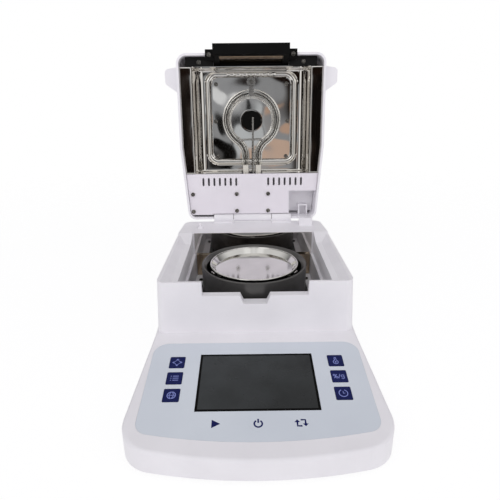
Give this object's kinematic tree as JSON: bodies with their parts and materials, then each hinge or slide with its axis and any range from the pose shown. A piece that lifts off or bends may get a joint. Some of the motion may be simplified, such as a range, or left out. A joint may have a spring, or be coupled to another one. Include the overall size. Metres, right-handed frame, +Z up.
{
  "type": "moisture analyzer",
  "caption": "Halogen moisture analyser: sloped console with display and keys, square weighing chamber with pan and draft ring, hinged heating lid.",
  "frame": {"origin": "under the middle of the whole object, on the table, with the lid open", "axes": "-Y is the front with the console, +Z is up, +X is the right hand side seen from the front"},
  "size_m": [0.2228, 0.4102, 0.331],
  "materials": {
    "white_plastic": "fine satin moulded ABS, warm white",
    "polished_steel": "mirror polished stainless sheet",
    "black_sheet": "black coated sheet",
    "screw_steel": "nickel plated steel",
    "dark_anodised": "dark grey satin coating",
    "satin_aluminium": "satin machined",
    "pressed_aluminium": "bright pressed sheet",
    "keypad_film": "printed polyester film, light blue grey",
    "navy_key": "printed navy key",
    "display_glass": "dark display glass",
    "display_module": "dark display module",
    "circuit_board": "green solder mask",
    "transformer_steel": "laminated core",
    "black_plastic": "moulded black plastic",
    "contact_brass": "plated contact blade",
    "quartz_glass": "clear quartz tube",
    "white_ceramic": "glazed ceramic",
    "tinted_glass": "brown tinted glass",
    "black_rubber": "moulded rubber"
  },
  "bodies": {
    "base": {"base_housing": "white_plastic", "bottom_tray": "white_plastic", "chamber_housing": "white_plastic", "chamber_floor": "white_plastic", "back_plate_upper": "polished_steel", "back_plate_lower": "polished_steel", "ring_seat_plate": "black_sheet", "floor_screws": "screw_steel", "load_receiver": "satin_aluminium", "load_cell": "satin_aluminium", "load_cell_mount": "satin_aluminium", "keypad_film": "keypad_film", "display_glass": "display_glass", "lcd_module": "display_module", "main_board": "circuit_board", "power_board": "circuit_board", "transformer": "transformer_steel", "mains_inlet": "black_plastic", "inlet_pins": "contact_brass", "power_switch_body": "black_plastic", "serial_port": "screw_steel", "hinge_knuckles": "white_plastic", "hinge_pin": "screw_steel", "plunger_guide": "white_plastic", "cable_guide_lower": "white_plastic"},
    "lid": {"lid_shell": "white_plastic", "lid_panel": "white_plastic", "lid_knuckle": "white_plastic", "reflector": "polished_steel", "halogen_lamp": "quartz_glass", "lamp_sockets": "white_ceramic", "lamp_bracket": "screw_steel", "lamp_wire_clip": "screw_steel", "temperature_probe": "screw_steel", "thermal_cutout": "black_sheet", "window_frame": "black_plastic", "window_glass": "tinted_glass", "lid_end_plate": "black_sheet", "cable_guide_upper": "white_plastic", "lid_screws": "screw_steel"},
    "plunger": {"lid_switch_plunger": "white_plastic"},
    "ring": {"draft_ring": "dark_anodised"},
    "support": {"pan_support": "satin_aluminium"},
    "pan": {"sample_pan": "pressed_aluminium"},
    "rocker": {"power_rocker": "black_plastic"},
    "key_zero": {"key_zero": "navy_key"},
    "key_menu": {"key_menu": "navy_key"},
    "key_print": {"key_print": "navy_key"},
    "key_heat": {"key_heat": "navy_key"},
    "key_unit": {"key_unit": "navy_key"},
    "key_time": {"key_time": "navy_key"},
    "key_start": {"key_start": "keypad_film"},
    "key_power": {"key_power": "keypad_film"},
    "key_tare": {"key_tare": "keypad_film"},
    "foot_front_left": {"foot_front_left": "black_rubber"},
    "foot_front_right": {"foot_front_right": "black_rubber"},
    "foot_rear_left": {"foot_rear_left": "black_rubber"},
    "foot_rear_right": {"foot_rear_right": "black_rubber"}
  },
  "joints": [
    {"name": "lid_hinge", "type": "hinge", "parent": "base", "child": "lid", "pos_m": [0, 0.13652, 0.1095], "axis": [-1, 0, 0], "range_deg": [-95.4, 0]},
    {"name": "lid_switch_slide", "type": "slide", "parent": "base", "child": "plunger", "axis": [0, 0, 1], "range_m": [-0.00245, 0]},
    {"name": "draft_ring_lift", "type": "slide", "parent": "base", "child": "ring", "axis": [0, 0, 1], "range_m": [0, 0.06]},
    {"name": "pan_support_lift", "type": "slide", "parent": "base", "child": "support", "axis": [0, 0, 1], "range_m": [0, 0.06]},
    {"name": "sample_pan_lift", "type": "slide", "parent": "support", "child": "pan", "axis": [0, 0, 1], "range_m": [0, 0.05]},
    {"name": "power_rocker_tilt", "type": "hinge", "parent": "base", "child": "rocker", "pos_m": [-0.018, 0.13962, 0.027], "axis": [0, 0, 1], "range_deg": [0, 16]},
    {"name": "key_zero_press", "type": "slide", "parent": "base", "child": "key_zero", "axis": [0, -0.1633, 0.9866], "range_m": [-0.0004, 0], "stiffness_N_per_m": 500},
    {"name": "key_menu_press", "type": "slide", "parent": "base", "child": "key_menu", "axis": [0, -0.1633, 0.9866], "range_m": [-0.0004, 0], "stiffness_N_per_m": 500},
    {"name": "key_print_press", "type": "slide", "parent": "base", "child": "key_print", "axis": [0, -0.1633, 0.9866], "range_m": [-0.0004, 0], "stiffness_N_per_m": 500},
    {"name": "key_heat_press", "type": "slide", "parent": "base", "child": "key_heat", "axis": [0, -0.1633, 0.9866], "range_m": [-0.0004, 0], "stiffness_N_per_m": 500},
    {"name": "key_unit_press", "type": "slide", "parent": "base", "child": "key_unit", "axis": [0, -0.1633, 0.9866], "range_m": [-0.0004, 0], "stiffness_N_per_m": 500},
    {"name": "key_time_press", "type": "slide", "parent": "base", "child": "key_time", "axis": [0, -0.1633, 0.9866], "range_m": [-0.0004, 0], "stiffness_N_per_m": 500},
    {"name": "key_start_press", "type": "slide", "parent": "base", "child": "key_start", "axis": [0, -0.1633, 0.9866], "range_m": [-0.0004, 0], "stiffness_N_per_m": 500},
    {"name": "key_power_press", "type": "slide", "parent": "base", "child": "key_power", "axis": [0, -0.1633, 0.9866], "range_m": [-0.0004, 0], "stiffness_N_per_m": 500},
    {"name": "key_tare_press", "type": "slide", "parent": "base", "child": "key_tare", "axis": [0, -0.1633, 0.9866], "range_m": [-0.0004, 0], "stiffness_N_per_m": 500},
    {"name": "foot_front_left_screw", "type": "hinge", "parent": "base", "child": "foot_front_left", "pos_m": [-0.082, -0.14788, 0], "axis": [0, 0, 1], "range_deg": [-540, 540]},
    {"name": "foot_front_right_screw", "type": "hinge", "parent": "base", "child": "foot_front_right", "pos_m": [0.082, -0.14788, 0], "axis": [0, 0, 1], "range_deg": [-540, 540]},
    {"name": "foot_rear_left_screw", "type": "hinge", "parent": "base", "child": "foot_rear_left", "pos_m": [-0.078, 0.12012, 0], "axis": [0, 0, 1], "range_deg": [-540, 540]},
    {"name": "foot_rear_right_screw", "type": "hinge", "parent": "base", "child": "foot_rear_right", "pos_m": [0.078, 0.12012, 0], "axis": [0, 0, 1], "range_deg": [-540, 540]}
  ],
  "couplings": [
    {"joint": "lid_switch_slide", "follows": "lid_hinge", "m_per_rad": 0.0014414}
  ]
}
